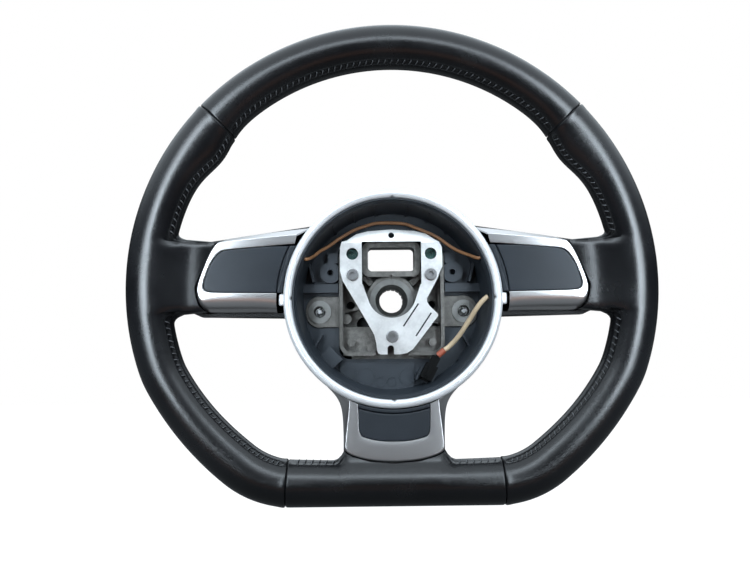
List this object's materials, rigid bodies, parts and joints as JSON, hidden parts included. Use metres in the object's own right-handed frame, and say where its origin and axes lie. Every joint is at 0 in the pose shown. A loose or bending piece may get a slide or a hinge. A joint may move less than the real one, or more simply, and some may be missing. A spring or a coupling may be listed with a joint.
{
  "type": "car steering wheel",
  "caption": "Flat-bottomed leather car steering wheel with three silver spokes, shown without its horn pad over the splined hub, steel plate and wiring.",
  "frame": {"origin": "on the steering axis, in the plane of the hub's rear face", "axes": "driver's side at -Y, steering column at +Y, up the wheel is +Z, the driver's right is +X"},
  "size_m": [0.37, 0.0741, 0.3363],
  "materials": {
    "black_leather": "fine grain, semi-gloss",
    "foam": "moulded polyurethane foam, matte",
    "cast_metal": "as cast, slightly rough",
    "bright_steel": "turned, lightly oiled",
    "zinc_steel": "zinc plated sheet, satin",
    "silver_paint": "fine metallic silver, satin",
    "slate_plastic": "fine grain, matte",
    "dark_plastic": "moulded, matte",
    "screw_patch": "green thread-lock patch on steel",
    "brown_cable": "cable jacket, semi-gloss",
    "beige_cable": "cable jacket, semi-gloss",
    "red_sleeve": "heat-shrink sleeve",
    "connector_plastic": "moulded housing, matte"
  },
  "bodies": {
    "wheel": {"armature": "cast_metal", "splined_hub": "bright_steel", "rim_foam": "foam", "leather_top": "black_leather", "leather_left": "black_leather", "leather_right": "black_leather", "leather_bottom": "black_leather", "recess_housing": "dark_plastic", "rear_cover": "dark_plastic", "bezel_ring": "silver_paint", "left_spoke_trim": "silver_paint", "right_spoke_trim": "silver_paint", "bottom_spoke_trim": "silver_paint", "left_insert": "slate_plastic", "right_insert": "slate_plastic", "bottom_insert": "slate_plastic", "steel_plate": "zinc_steel", "plate_screws": "bright_steel", "sunk_screws": "screw_patch", "left_bush": "cast_metal", "right_bush": "cast_metal", "brown_wire": "brown_cable", "beige_lead": "beige_cable", "lead_sleeve": "red_sleeve", "lead_connector": "connector_plastic", "cover_screws": "bright_steel"},
    "left_screw": {"left_fixing_screw": "bright_steel"},
    "right_screw": {"right_fixing_screw": "bright_steel"}
  },
  "joints": [
    {"name": "left_screw_turn", "type": "hinge", "parent": "wheel", "child": "left_screw", "pos_m": [-0.0525, -0.015, -0.008], "axis": [0, 1, 0], "continuous": true},
    {"name": "right_screw_turn", "type": "hinge", "parent": "wheel", "child": "right_screw", "pos_m": [0.0525, -0.015, -0.008], "axis": [0, 1, 0], "continuous": true}
  ]
}
